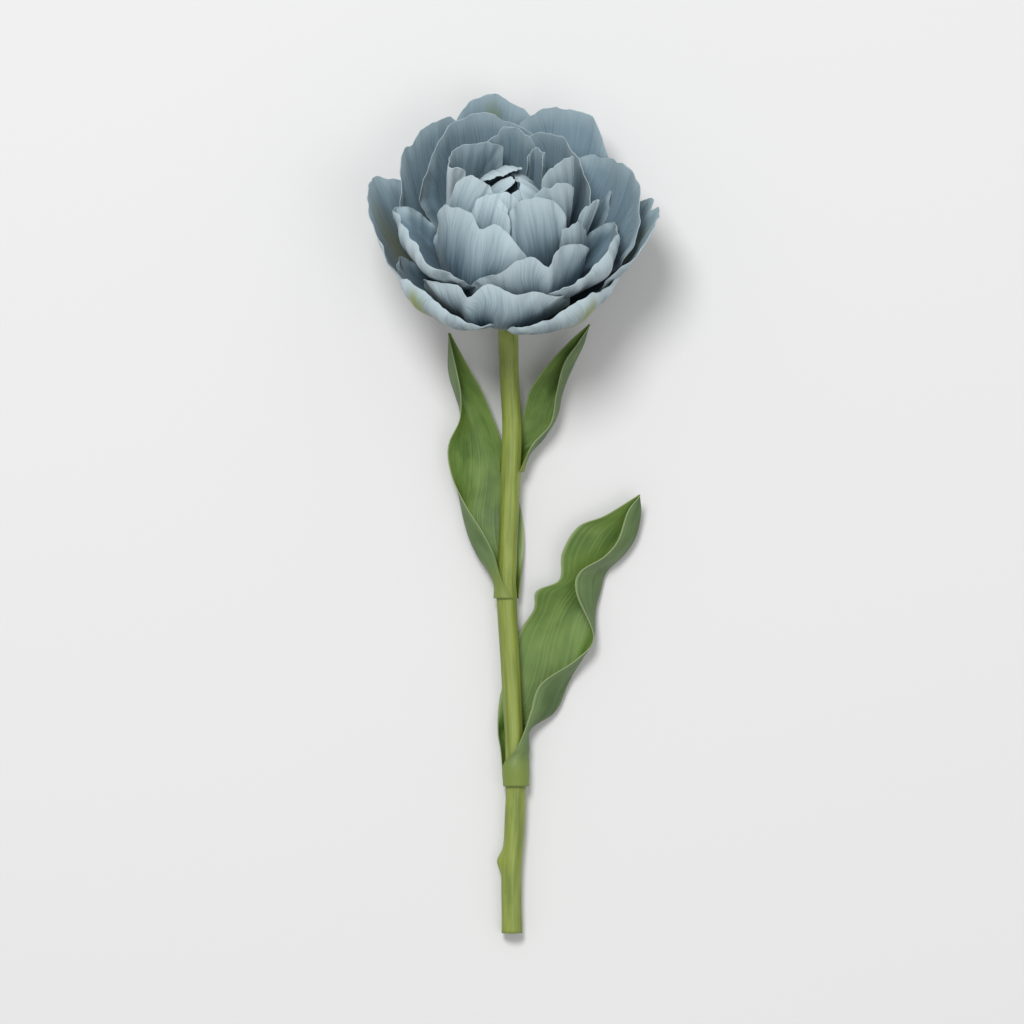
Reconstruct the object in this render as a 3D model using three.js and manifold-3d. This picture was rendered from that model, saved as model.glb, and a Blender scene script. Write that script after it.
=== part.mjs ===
// Double (peony-flowered) tulip, cut and laid down on a flat surface.
// Millimetres, +Z up, +Y from the cut end of the stem towards the flower.
//
// The flower is drawn in its own frame: origin on the receptacle, z along the flower's axis,
// azimuth 0 to the right, 90 at the back (the side that lies lowest), 270 at the front.
// Stem and leaves are drawn in the plant frame: same origin, z straight up from the table.
import * as THREE from 'three';
import initManifold from 'manifold-3d';

const wasm = await initManifold();
wasm.setup();
const { Manifold, Mesh } = wasm;

// ---- driving dimensions -------------------------------------------------------------------------

const FLOWER_RISE = 40;            // how far the flower's axis stands above the table, degrees
const PETAL_THICK = 0.6;
const LEAF_THICK = 0.8;
const CLEARANCE = 0.35;            // left between pieces that lie against each other

const STEM_RADIUS = 3.6;
const RECEPTACLE_SLOPE = 0.6;      // the receptacle's radius falls by this for each mm of height
const RECEPTACLE_RADIUS = 5.7;     // at height 0
const RECEPTACLE_TOP = 4.6;
const RECEPTACLE_FOOT = -3.6;

const OVARY_HEIGHT = 22;
const STAMEN_COUNT = 6;
const STAMEN_RING = 2.35;
const STAMEN_LEAN = 9;             // degrees outward

// Rows and columns of the petal shells, and how far a face may be flattened afterwards.
const PETAL_GRID = [7, 9];
const SMALL_PETAL_GRID = [6, 7];
const LEAF_COLUMNS = 7;
const FLATTEN = 0.05;

// ---- petals -------------------------------------------------------------------------------------

// az      direction the petal grows in, degrees
// rim     radius and height of the middle of its rim
// base    radius and height where its claw leaves the receptacle
// leave   slope at the claw and arrive, slope at the rim, degrees above level (over 90 leans inward)
// full    how far each slope is held, as a share of the chord
// width   half width;  claw  half width at the base;  cup  how far each side curls up, degrees
// drop    how much shorter the sides are than the middle;  notch  dip in the middle of the rim
// crease  depth of the fold along the middle;  lobes  swell of each half beside it
// twist   turn about the mid rib, degrees
// fold    how far the left and right margins turn inward, degrees; foldAt and foldWide say where
//         across the petal, foldFrom from how far up
const PETAL = {
  full: [0.42, 0.42], claw: 3.2, cup0: 55, cup: 35, widest: 0.62, drop: 0.4, twist: 0,
  notch: 0, notchAt: 0, notchWide: 0.12, crease: 0, creaseAt: 0, creaseWide: 0.1, lobes: 0,
  fold: [0, 0], foldAt: [0.65, 0.65], foldWide: 0.12, foldFrom: 0.3,
};

const WHORLS = [
  { base: [7.8, -3], claw: 4, petals: {
    tepal_1_back: { az: 98, rim: [50.5, 53], leave: -5, arrive: 78, width: 20, cup: 30, drop: 0.52 },
    tepal_1_front_left: { az: 218, rim: [39.5, 25.5], leave: 20, arrive: 118, width: 27, cup: 45,
      drop: 0.4, full: [0.72, 0.22] },
    tepal_1_front_right: { az: 315, rim: [39, 24.5], leave: 18, arrive: 118, width: 28, cup: 45,
      drop: 0.4, full: [0.72, 0.22] },
  } },
  { base: [7.2, -2], claw: 4, petals: {
    tepal_2_right: { az: 4, rim: [53, 36], leave: 0, arrive: 60, width: 23, cup: 38, twist: -9,
      notch: 0.05, notchWide: 0.05, notchAt: 0.25 },
    tepal_2_left: { az: 171, rim: [50, 42], leave: 0, arrive: 70, width: 24, cup: 38 },
    tepal_2_front: { az: 260, rim: [34, 34], leave: 20, arrive: 100, width: 29, cup: 46, drop: 0.32,
      full: [0.5, 0.35], crease: 2.8, creaseAt: -0.25, lobes: 1.2, notch: 0.1, notchAt: -0.25 },
  } },
  { base: [6.6, -1], claw: 3.8, petals: {
    petal_3_back_right: { az: 61, rim: [47.5, 51], leave: 10, arrive: 80, width: 23, cup: 33 },
    petal_3_back_left: { az: 129, rim: [45, 50.5], leave: 10, arrive: 85, width: 24, cup: 42,
      drop: 0.42 },
    petal_3_right: { az: 27, rim: [45, 45], leave: 10, arrive: 85, width: 26, cup: 42 },
  } },
  { base: [6, 0], claw: 3.6, petals: {
    petal_4_back: { az: 106, rim: [36, 55], leave: 20, arrive: 92, width: 27, cup: 44, drop: 0.4 },
    petal_4_right: { az: 334, rim: [38.5, 37], leave: 32, arrive: 130, width: 25, cup: 48,
      drop: 0.36, full: [0.65, 0.2] },
    petal_4_left: { az: 203, rim: [38, 44], leave: 40, arrive: 124, width: 25, cup: 46, drop: 0.36,
      full: [0.62, 0.2] },
    petal_4_front: { az: 294, rim: [29, 43], leave: 22, arrive: 100, width: 26, cup: 55,
      crease: 2.2, creaseAt: 0.06, lobes: 0.8, notch: 0.12, notchAt: 0.06, drop: 0.42 },
  } },
  { base: [5.4, 1], claw: 2.2, petals: {
    petal_5_back_right: { az: 54, rim: [31, 52.5], leave: 25, arrive: 98, width: 22, cup: 55,
      drop: 0.36 },
    petal_5_back: { az: 90, rim: [26, 57], leave: 35, arrive: 95, width: 13, cup: 62, drop: 0.26 },
    petal_5_left: { az: 138, rim: [22, 56], leave: 40, arrive: 95, width: 17, cup: 48, drop: 0.08,
      fold: [0, 112], foldAt: [0.6, 0.56], foldWide: 0.1, foldFrom: 0.1 },
    petal_5_front_left: { az: 236, rim: [20, 52], leave: 25, arrive: 105, width: 24, cup: 52,
      full: [0.5, 0.5], crease: 1.8, lobes: 1.3, notch: 0.05, drop: 0.4, notchAt: 0.1,
      creaseAt: 0.1 },
    petaloid_5_right: { az: 335, rim: [24.5, 42], leave: 35, arrive: 100, width: 8.5, cup: 50,
      drop: 0.2, twist: -30 },
    petaloid_5_far_right: { az: 352, rim: [31, 48], leave: 45, arrive: 55, width: 4.5, cup: 30,
      twist: -40, claw: 1.5 },
  } },
  { base: [4.8, 2], claw: 2.4, petals: {
    petal_6_front: { az: 304, rim: [13.4, 55], leave: 45, arrive: 112, width: 12, cup: 50,
      full: [0.5, 0.5], drop: 0.26, twist: -36 },
    petal_6_right: { az: 14, rim: [19.7, 59], leave: 50, arrive: 98, width: 9, cup: 56, twist: -68,
      drop: 0.16 },
    petal_6_back_right: { az: 60, rim: [22, 53], leave: 50, arrive: 92, width: 6.5, cup: 105,
      drop: 0.1 },
    petal_6_left: { az: 205, rim: [9.5, 56.5], leave: 50, arrive: 122, width: 10, cup: 52,
      drop: 0.22, twist: 50 },
  } },
  { base: [4.2, 3], claw: 2.4, petals: {
    petal_7_right: { az: 338, rim: [15.6, 56], leave: 52, arrive: 105, width: 9.5, cup: 52,
      twist: -55, drop: 0.2 },
    petal_7_left: { az: 240, rim: [9, 53.5], leave: 52, arrive: 125, width: 7.2, cup: 52,
      drop: 0.18, twist: 8 },
    petal_7_front: { az: 245, rim: [10.5, 50.3], leave: 48, arrive: 118, width: 6.5, cup: 50,
      drop: 0.16 },
    petal_7_back: { az: 112, rim: [2.5, 54], leave: 70, arrive: 172, width: 9, cup: 40,
      drop: 0.18 },
  } },
  { base: [3.6, 4], claw: 1.8, petals: {
    petal_8_right: { az: 350, rim: [4, 54.5], leave: 58, arrive: 150, width: 6.5, cup: 45,
      drop: 0.12 },
    petal_8_left: { az: 190, rim: [-2, 55], leave: 70, arrive: 160, width: 3.6, cup: 45,
      drop: 0.1 },
    petal_8_front: { az: 270, rim: [4, 51], leave: 60, arrive: 118, width: 8, cup: 45, drop: 0.15 },
    petal_8_front_right: { az: 312, rim: [4.5, 51.5], leave: 60, arrive: 138, width: 5.5, cup: 50,
      drop: 0.12 },
    petal_8_back_right: { az: 52, rim: [4.5, 50.8], leave: 66, arrive: 165, width: 4.5, cup: 45,
      drop: 0.12 },
  } },
];

// ---- stem and leaves ----------------------------------------------------------------------------

// Centre line from the receptacle to the cut end.
const STEM_LINE = [
  [0, 3, 2.5], [0, -2.3, -1.9], [0, -7, -5.8], [0.1, -14, -9.8], [0.5, -28, -13],
  [1.4, -46, -14.2], [0.6, -70, -14.7], [-0.2, -90, -15.2], [-0.4, -106, -15.6],
  [1.2, -134, -16.3], [2.6, -165, -16.8], [2.4, -182, -17.2], [1.2, -203, -17.7],
  [1.4, -222, -18.1],
];
const BUD_SCAR = [-2.2, -197, -16.2];

// Each leaf is a row of stations from its base to its tip. At a sheath station the blade is part of
// a circle about the stem: [y, radius, from, to], degrees, 0 at the right, 90 on top. At a blade
// station it passes through its left edge, its keel and its right edge.
const LEAVES = {
  leaf_lower: [
    [-170.5, 4.3, 190, 530],
    [-163, 4.6, 186, 515],
    [-157.5, 4.9, 182, 445],
    [-150.5, 5.6, 186, 405],
    [[-3, -140, -19.2], [15.5, -144, -20.3], [8, -144, -12.5]],
    [[0, -129, -20.1], [20, -134.5, -20.3], [11.5, -134.5, -12]],
    [[4, -116.5, -19.4], [23, -124, -20.3], [24, -126, -13]],
    [[9, -108.5, -16.5], [26, -112.5, -20.3], [30, -118, -13.5]],
    [[10, -102, -13.5], [31, -103, -20.3], [24, -103, -11]],
    [[18, -98, -15], [34, -95.5, -20.3], [25, -95.5, -10.5]],
    [[19, -88.5, -13], [39, -89.5, -20], [33.5, -90, -11]],
    [[24.5, -79.5, -14], [43.5, -82.5, -19], [38.5, -84, -12]],
    [[34, -75.5, -13.5], [46, -75, -17], [42, -74, -12.5]],
    [[45.5, -68.5, -13], [46, -68.2, -13.2], [46.4, -68.4, -13]],
  ],
  leaf_middle: [
    [-104.5, 4.3, 60, 345],
    [-97.5, 5, 112, 345],
    [[-5, -89, -10.5], [-10, -89, -17.5], [5.5, -88, -19]],
    [[-9, -81, -10.5], [-13, -81, -18.2], [5.5, -80.5, -19.5]],
    [[-14.5, -72.5, -11.5], [-13.5, -73, -19.6], [4.5, -73, -19.8]],
    [[-19, -63.5, -13], [-12, -65, -20.2], [2, -63.5, -19.8]],
    [[-21, -55.5, -14], [-11.5, -56.5, -20.2], [-0.5, -55, -19.5]],
    [[-20.5, -49.5, -13.5], [-12, -49, -19.8], [-3, -47, -17.5]],
    [[-17, -42, -11], [-13.5, -40.5, -18], [-6.5, -38, -15]],
    [[-16.5, -33.5, -8], [-17.5, -33, -15.5], [-9.5, -31, -12.5]],
    [[-18, -24.5, -6.5], [-20.5, -24, -12], [-13.5, -24, -10]],
    [[-21, -11.8, -7], [-20.6, -11.5, -7.3], [-20.2, -11.7, -7]],
  ],
  leaf_upper: [
    [-60, 4.3, 200, 405],
    [-54, 6.2, 235, 388],
    [[2.5, -49, -19], [11.5, -48.5, -18], [9, -50, -11.5]],
    [[5.5, -39, -16.5], [16, -39.5, -16.5], [15, -43, -10.5]],
    [[8, -31, -12.5], [18, -32, -15], [17, -32.5, -8.5]],
    [[14, -22.5, -9.5], [22.5, -22.5, -12], [19.5, -22.5, -6.5]],
    [[21.5, -14.5, -7], [26, -15.5, -9], [24.5, -15, -5]],
    [[28, -8.8, -5], [28.4, -8.5, -5.3], [28.8, -8.7, -5]],
  ],
};

// ---- colours ------------------------------------------------------------------------------------

const COLOURS = {
  tepal: { color: 0x7f948f, roughness: 0.55 },
  petal: { color: 0x7f97a6, roughness: 0.55 },
  stem: { color: 0x82933f, roughness: 0.5 },
  leaf: { color: 0x62873f, roughness: 0.5 },
  pistil: { color: 0xa9b56b, roughness: 0.6 },
  stamen: { color: 0x4a4238, roughness: 0.8 },
};

// ---- small helpers ------------------------------------------------------------------------------

const DEG = Math.PI / 180;
const vec = (x, y, z) => new THREE.Vector3(x, y, z);
const clamp = THREE.MathUtils.clamp;

function smooth(x) {
  const u = clamp(x, 0, 1);
  return u * u * (3 - 2 * u);
}

/** Closed solid from points and triangles, turned so that its faces look outward. */
function solid(points, triangles) {
  const vertProperties = new Float32Array(points.length * 3);
  points.forEach((p, i) => p.toArray(vertProperties, i * 3));
  let six = 0;
  const cross = vec();
  for (const [a, b, c] of triangles) {
    six += points[a].dot(cross.crossVectors(points[b], points[c]));
  }
  const turned = six < 0 ? triangles.map(([a, b, c]) => [a, c, b]) : triangles;
  const triVerts = new Uint32Array(turned.flat());
  return new Manifold(new Mesh({ numProp: 3, vertProperties, triVerts }));
}

/**
 * Thin shell about the surface at(s, t), s from 0 to 1 and t from -1 to 1.
 * `grow` widens it past its margins, for the copy that keeps the neighbours clear.
 */
function shell(at, rows, cols, halfThick, grow = 0) {
  const mid = [];
  for (let i = 0; i < rows; i += 1) {
    const s = i / (rows - 1);
    mid.push(Array.from({ length: cols }, (_, j) => at(s, Math.sin(DEG * 90 * (2 * j / (cols - 1) - 1)))));
  }
  const point = (i, j) => mid[clamp(i, 0, rows - 1)][clamp(j, 0, cols - 1)];
  const along = (i, j) => point(i + 1, j).clone().sub(point(i - 1, j)).normalize();
  const across = (i, j) => point(i, j + 1).clone().sub(point(i, j - 1)).normalize();
  const top = [];
  const bottom = [];
  for (let i = 0; i < rows; i += 1) {
    for (let j = 0; j < cols; j += 1) {
      const p = point(i, j).clone();
      const normal = vec().crossVectors(across(i, j), along(i, j)).normalize();
      if (i === 0 || i === rows - 1) p.addScaledVector(along(i, j), i === 0 ? -grow : grow);
      if (j === 0 || j === cols - 1) p.addScaledVector(across(i, j), j === 0 ? -grow : grow);
      top.push(p.clone().addScaledVector(normal, halfThick));
      bottom.push(p.clone().addScaledVector(normal, -halfThick));
    }
  }
  const n = rows * cols;
  const id = (i, j) => i * cols + j;
  const tris = [];
  const quad = (a, b, c, d) => tris.push([a, b, c], [a, c, d]);
  for (let i = 0; i < rows - 1; i += 1) {
    for (let j = 0; j < cols - 1; j += 1) {
      quad(id(i, j), id(i, j + 1), id(i + 1, j + 1), id(i + 1, j));
      quad(n + id(i, j), n + id(i + 1, j), n + id(i + 1, j + 1), n + id(i, j + 1));
    }
    quad(id(i, 0), id(i + 1, 0), n + id(i + 1, 0), n + id(i, 0));
    quad(id(i + 1, cols - 1), id(i, cols - 1), n + id(i, cols - 1), n + id(i + 1, cols - 1));
  }
  for (let j = 0; j < cols - 1; j += 1) {
    quad(id(0, j + 1), id(0, j), n + id(0, j), n + id(0, j + 1));
    quad(id(rows - 1, j), id(rows - 1, j + 1), n + id(rows - 1, j + 1), n + id(rows - 1, j));
  }
  return solid([...top, ...bottom], tris);
}

/** Closed round solid: rings of points, each ring a list, capped at both ends. */
function rings(list) {
  const n = list[0].length;
  const points = list.flat();
  const tris = [];
  for (let i = 0; i < list.length - 1; i += 1) {
    for (let j = 0; j < n; j += 1) {
      const k = (j + 1) % n;
      const [a, b, c, d] = [i * n + j, i * n + k, (i + 1) * n + k, (i + 1) * n + j];
      tris.push([a, b, c], [a, c, d]);
    }
  }
  const centre = (ring) => ring.reduce((sum, p) => sum.add(p), vec(0, 0, 0)).divideScalar(n);
  points.push(centre(list[0]), centre(list[list.length - 1]));
  const last = (list.length - 1) * n;
  for (let j = 0; j < n; j += 1) {
    const k = (j + 1) % n;
    tris.push([points.length - 2, k, j], [points.length - 1, last + j, last + k]);
  }
  return solid(points, tris);
}

/** Solid of revolution about z with a three-lobed section: stations are [radius, z, lobing]. */
function lobedTurn(stations, segments) {
  return rings(stations.map(([r, z, lobing = 0]) => Array.from({ length: segments }, (_, j) => {
    const a = 2 * Math.PI * j / segments;
    const radius = r * (1 + lobing * Math.cos(3 * a));
    return vec(radius * Math.cos(a), radius * Math.sin(a), z);
  })));
}

// ---- the petal surface --------------------------------------------------------------------------

/** Offsets along and across after a run `a` on an arc of curvature k. */
function arc(k, a) {
  if (Math.abs(k) < 1e-6) return [a, 0];
  return [Math.sin(k * a) / k, (1 - Math.cos(k * a)) / k];
}

/**
 * Place of t on the cross section of a petal of unit half width: an even cup, then a fold of the
 * margin, then the rest of the margin straight.
 */
function crossSection(t, cup, bend, foldAt, foldWide) {
  const spans = [
    [0, foldAt, cup],
    [foldAt, foldAt + foldWide, cup + bend / foldWide],
    [foldAt + foldWide, 1, cup * (1 - Math.min(Math.abs(bend), 1))],
  ];
  let [x, up, heading] = [0, 0, 0];
  for (const [from, to, curl] of spans) {
    const run = clamp(Math.abs(t) - from, 0, to - from);
    const [dx, dn] = arc(curl, run);
    x += dx * Math.cos(heading) - dn * Math.sin(heading);
    up += dx * Math.sin(heading) + dn * Math.cos(heading);
    heading += curl * run;
  }
  return { x: Math.sign(t) * x, up, heading: Math.sign(t) * heading };
}

function petalSurface(spec) {
  const p = { ...PETAL, ...spec };
  const start = new THREE.Vector2(...p.base);
  const end = new THREE.Vector2(...p.rim);
  const chord = start.distanceTo(end);
  const hold = (angle, share) => new THREE.Vector2(Math.cos(angle * DEG), Math.sin(angle * DEG))
    .multiplyScalar(share * chord);
  const rib = new THREE.CubicBezierCurve(
    start, start.clone().add(hold(p.leave, p.full[0])), end.clone().sub(hold(p.arrive, p.full[1])), end);
  rib.arcLengthDivisions = 240;
  const out = vec(Math.cos(p.az * DEG), Math.sin(p.az * DEG), 0);
  const side = vec(-out.y, out.x, 0);

  return (s, t) => {
    const top = 1 - p.drop * (1 - Math.sqrt(Math.max(0, 1 - t * t)))
      - p.notch * Math.exp(-(((t - p.notchAt) / p.notchWide) ** 2));
    const run = clamp(s * top, 0, 1);
    const place = rib.getPointAt(run);
    const slope = rib.getTangentAt(run);
    const half = p.claw + (p.width - p.claw) * Math.sin(Math.min(run / p.widest, 1) * Math.PI / 2) ** 1.4;
    const turn = p.twist * DEG * run;
    const normal = out.clone().multiplyScalar(-slope.y).add(vec(0, 0, slope.x));
    const lateral = side.clone().multiplyScalar(Math.cos(turn)).addScaledVector(normal, Math.sin(turn));
    const face = normal.multiplyScalar(Math.cos(turn)).addScaledVector(side, -Math.sin(turn));
    const edge = t < 0 ? 0 : 1;
    const cup = (p.cup0 + (p.cup - p.cup0) * smooth(run / 0.5)) * DEG;
    const bend = p.fold[edge] * DEG * smooth((run - p.foldFrom) / 0.3);
    const cut = crossSection(t, cup, bend, p.foldAt[edge], p.foldWide);
    const risen = smooth((run - 0.15) / 0.4);
    const offCrease = t - p.creaseAt;
    const sink = risen * (p.crease * Math.exp(-((offCrease / p.creaseWide) ** 2))
      + p.lobes * Math.cos(Math.PI * (Math.abs(offCrease) - 0.5)) ** 2);
    return out.clone().multiplyScalar(place.x).add(vec(0, 0, place.y))
      .addScaledVector(lateral, cut.x * half + sink * Math.sin(cut.heading))
      .addScaledVector(face, cut.up * half - sink * Math.cos(cut.heading));
  };
}

// ---- stem, sheath and leaf surfaces -------------------------------------------------------------

const stemCurve = new THREE.CatmullRomCurve3(STEM_LINE.map((p) => vec(...p)), false, 'centripetal');

/** Centre of the stem at a distance y along the table. */
function stemCentre(y) {
  let [lo, hi] = [0, 1];
  for (let k = 0; k < 30; k += 1) {
    const m = (lo + hi) / 2;
    if (stemCurve.getPoint(m).y > y) lo = m;
    else hi = m;
  }
  return stemCurve.getPoint(lo);
}

function stationPoint(station, t) {
  if (typeof station[0] === 'number') {
    const [y, radius, from, to] = station;
    const centre = stemCentre(y);
    const a = THREE.MathUtils.lerp(from, to, (t + 1) / 2) * DEG;
    return centre.add(vec(radius * Math.cos(a), 0, radius * Math.sin(a)));
  }
  const [left, keel, right] = station.map((p) => vec(...p));
  return left.multiplyScalar(t * (t - 1) / 2)
    .addScaledVector(keel, 1 - t * t)
    .addScaledVector(right, t * (t + 1) / 2);
}

function leafSurface(stations) {
  return (s, t) => {
    const through = stations.map((station) => stationPoint(station, t));
    return new THREE.CatmullRomCurve3(through, false, 'catmullrom').getPoint(s);
  };
}

function stemSolid() {
  const count = 26;
  const segments = 12;
  const list = [];
  for (let i = 0; i < count; i += 1) {
    const u = i / (count - 1);
    const centre = stemCurve.getPointAt(u);
    const ahead = stemCurve.getTangentAt(u);
    const right = vec(1, 0, 0).addScaledVector(ahead, -ahead.x).normalize();
    const up = vec().crossVectors(ahead, right);
    const node = [-60, -104, -169].reduce((sum, y) => sum + Math.exp(-(((centre.y - y) / 3) ** 2)), 0);
    const radius = STEM_RADIUS * (1 - 0.06 * Math.sin(Math.PI * u)) + 0.15 * node;
    list.push(Array.from({ length: segments }, (_, j) => {
      const a = 2 * Math.PI * j / segments;
      return centre.clone()
        .addScaledVector(right, radius * Math.cos(a))
        .addScaledVector(up, radius * Math.sin(a));
    }));
  }
  const cone = (z) => RECEPTACLE_RADIUS - RECEPTACLE_SLOPE * z;
  const receptacle = lobedTurn([
    [STEM_RADIUS - 0.3, RECEPTACLE_FOOT - 6], [STEM_RADIUS + 0.6, RECEPTACLE_FOOT - 3.4],
    [STEM_RADIUS + 2.4, RECEPTACLE_FOOT - 1.2], [cone(RECEPTACLE_FOOT) - 0.5, RECEPTACLE_FOOT],
    [cone(-2.6), -2.6], [cone(0), 0], [cone(RECEPTACLE_TOP), RECEPTACLE_TOP],
    [1.2, RECEPTACLE_TOP + 0.3],
  ], 16).rotate([FLOWER_RISE - 90, 0, 0]);
  const scar = Manifold.sphere(1, 10).scale([1.8, 4, 1.6]).translate(BUD_SCAR);
  return Manifold.union([rings(list), receptacle, scar]).simplify(0.05);
}

// ---- pistil and stamens -------------------------------------------------------------------------

function pistilSolid() {
  const foot = RECEPTACLE_TOP + 0.3 + CLEARANCE;
  return lobedTurn([
    [1.1, foot], [1.5, foot + 2, 0.05], [2.1, foot + 7, 0.08], [2.2, foot + 12, 0.08],
    [1.7, foot + 17, 0.1], [1.5, foot + 18.5, 0.15], [2.6, foot + 20, 0.3], [2.4, foot + 21.4, 0.35],
    [1.0, foot + OVARY_HEIGHT, 0.2],
  ], 15);
}

function stamenSolid() {
  return lobedTurn([
    [0.55, 0], [0.45, 6], [0.3, 10.5], [0.8, 11.3], [1.0, 13], [1.0, 16.5], [0.7, 18.4], [0.2, 19],
  ], 8);
}

// ---- putting it together ------------------------------------------------------------------------

const boxesMeet = (a, b) => [0, 1, 2].every((k) => a.min[k] < b.max[k] && b.min[k] < a.max[k]);

/** The main piece of `body` once it is kept clear of each grown neighbour. */
function clearOf(body, neighbours) {
  const left = neighbours.reduce((rest, other) => (
    boxesMeet(rest.boundingBox(), other.boundingBox()) ? rest.subtract(other) : rest), body);
  const pieces = left.simplify(FLATTEN).decompose();
  return pieces.reduce((best, piece) => (piece.volume() > best.volume() ? piece : best));
}

function meshOf(name, body, look) {
  const { vertProperties, triVerts } = body.getMesh();
  const geometry = new THREE.BufferGeometry();
  geometry.setAttribute('position', new THREE.BufferAttribute(new Float32Array(vertProperties), 3));
  geometry.setIndex(new THREE.BufferAttribute(new Uint32Array(triVerts), 1));
  geometry.computeVertexNormals();
  const mesh = new THREE.Mesh(geometry, new THREE.MeshStandardMaterial({ metalness: 0, ...COLOURS[look] }));
  mesh.name = name;
  return mesh;
}

const plant = new THREE.Group();
const bloom = new THREE.Group();
bloom.rotation.x = (FLOWER_RISE - 90) * DEG;
plant.add(bloom);

// The stem keeps its shape; its grown copy holds everything else clear.
const stem = stemSolid();
plant.add(meshOf('stem', stem, 'stem'));
const grownStem = Manifold.union([
  stem,
  ...[[1, 0, 0], [-1, 0, 0], [0, 1, 0], [0, -1, 0], [0, 0, 1], [0, 0, -1]]
    .map((d) => stem.translate(d.map((v) => v * CLEARANCE))),
]);
const stemInBloom = grownStem.rotate([90 - FLOWER_RISE, 0, 0]);

const bloomTaken = [stemInBloom];
for (const { base, claw, petals } of WHORLS) {
  for (const [name, spec] of Object.entries(petals)) {
    const at = petalSurface({ base, claw, ...spec });
    const [rows, cols] = spec.width > 18 ? PETAL_GRID : SMALL_PETAL_GRID;
    const body = clearOf(shell(at, rows, cols, PETAL_THICK / 2), bloomTaken);
    bloomTaken.push(shell(at, rows, cols, PETAL_THICK / 2 + CLEARANCE, CLEARANCE));
    bloom.add(meshOf(name, body, name.startsWith('tepal') ? 'tepal' : 'petal'));
  }
}

const pistil = pistilSolid();
bloom.add(meshOf('pistil', clearOf(pistil, bloomTaken), 'pistil'));
bloomTaken.push(pistil);
for (let k = 0; k < STAMEN_COUNT; k += 1) {
  const turn = 360 * (k + 0.5) / STAMEN_COUNT;
  const stamen = stamenSolid().rotate([0, STAMEN_LEAN, 0])
    .translate([STAMEN_RING, 0, RECEPTACLE_TOP + 0.9]).rotate([0, 0, turn]);
  bloom.add(meshOf(`stamen_${k + 1}`, clearOf(stamen, bloomTaken), 'stamen'));
}

const plantTaken = [grownStem, ...bloomTaken.slice(1).map((m) => m.rotate([FLOWER_RISE - 90, 0, 0]))];
for (const [name, stations] of Object.entries(LEAVES)) {
  const at = leafSurface(stations);
  const rows = Math.round(1.4 * stations.length);
  const body = clearOf(shell(at, rows, LEAF_COLUMNS, LEAF_THICK / 2), plantTaken);
  plantTaken.push(shell(at, rows, LEAF_COLUMNS, LEAF_THICK / 2 + CLEARANCE, CLEARANCE));
  plant.add(meshOf(name, body, 'leaf'));
}

// Stand it on the table, centred.
plant.updateMatrixWorld(true);
const box = new THREE.Box3().setFromObject(plant, true);
plant.position.set(-(box.min.x + box.max.x) / 2, -(box.min.y + box.max.y) / 2, -box.min.z);

export default plant;
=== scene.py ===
# Double (peony-flowered) tulip lying on a pale table, seen from straight above.
# Shapes are worked out in millimetres and placed in metres.
import math

import bpy
import numpy as np
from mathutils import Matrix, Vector


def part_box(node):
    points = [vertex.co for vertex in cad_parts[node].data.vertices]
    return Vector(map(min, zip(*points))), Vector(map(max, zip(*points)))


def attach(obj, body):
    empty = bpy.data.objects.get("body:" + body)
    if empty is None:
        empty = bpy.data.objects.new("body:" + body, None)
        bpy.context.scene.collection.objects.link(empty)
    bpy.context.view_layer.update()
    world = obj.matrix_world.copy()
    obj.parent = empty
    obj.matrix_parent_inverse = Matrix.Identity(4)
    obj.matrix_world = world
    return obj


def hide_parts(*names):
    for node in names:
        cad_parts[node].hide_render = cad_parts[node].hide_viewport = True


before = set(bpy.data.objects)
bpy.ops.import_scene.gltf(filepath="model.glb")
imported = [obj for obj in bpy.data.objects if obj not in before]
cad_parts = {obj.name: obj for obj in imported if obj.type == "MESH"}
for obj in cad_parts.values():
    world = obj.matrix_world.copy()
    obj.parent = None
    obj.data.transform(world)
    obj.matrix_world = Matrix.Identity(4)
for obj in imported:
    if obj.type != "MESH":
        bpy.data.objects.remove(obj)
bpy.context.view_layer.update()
MM = 0.001

# ---- driving dimensions, millimetres and degrees -------------------------------------------------

FLOWER_RISE = 40                  # the flower's axis above the table
STEM_RADIUS = 3.6
STEM_TOP = 5.414                  # how far the receptacle reaches past the plant's origin along +Y
STEM_SIDE = 7.36                  # how far it reaches to the right
FLOOR_DROP = 21.83                # the plant's origin above the table

# The plant's origin, on the receptacle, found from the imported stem.
_, stem_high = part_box("stem")
ORIGIN = np.array([stem_high[0] / MM - STEM_SIDE, stem_high[1] / MM - STEM_TOP, FLOOR_DROP])

# ---- petals --------------------------------------------------------------------------------------

# az      direction round the flower's axis, degrees
# base, rim      ends of the mid rib, (radius, height) in mm
# leave, arrive  slope of the rib at those ends, degrees;  full  how far it keeps them
# claw, width    half widths at the base and where it is widest, mm;  widest  where that is
# cup0, cup      turn from the rib to the margin, degrees, at the base and from halfway up
# drop    how much shorter it is at the margins;  twist  turn from base to rim, degrees
# notch   a dip of the rim, centred notch_at across and notch_wide wide
# crease  depth of a groove along the petal at crease_at, mm;  lobes  the swells beside it, mm
# fold    turn of the left and right margin, degrees, over fold_wide from fold_at outwards and
#         from fold_from upwards
# These are as in the part's source, where five petals keep slightly earlier values. The rest is
# detail that only shows here:
# ruffle  height of the waves along the margin, mm;  waves  how many;  nick  raggedness of the rim
# pleat   depth of the long folds, mm;  seed  which way they all fall
# flame   strength of the green flame
PETAL = dict(
    az=0, rim=(50, 40), base=(5, 0), leave=10, arrive=85, full=(0.42, 0.42), claw=3.2, width=24,
    cup0=55, cup=35, widest=0.62, drop=0.4, twist=0, notch=0, notch_at=0, notch_wide=0.12,
    crease=0, crease_wide=0.1, crease_at=0, lobes=0,
    fold=(0, 0), fold_at=(0.65, 0.65), fold_wide=0.12, fold_from=0.3,
    ruffle=0.8, waves=5, nick=0.02, pleat=0.25, seed=1, flame=0)

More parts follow.
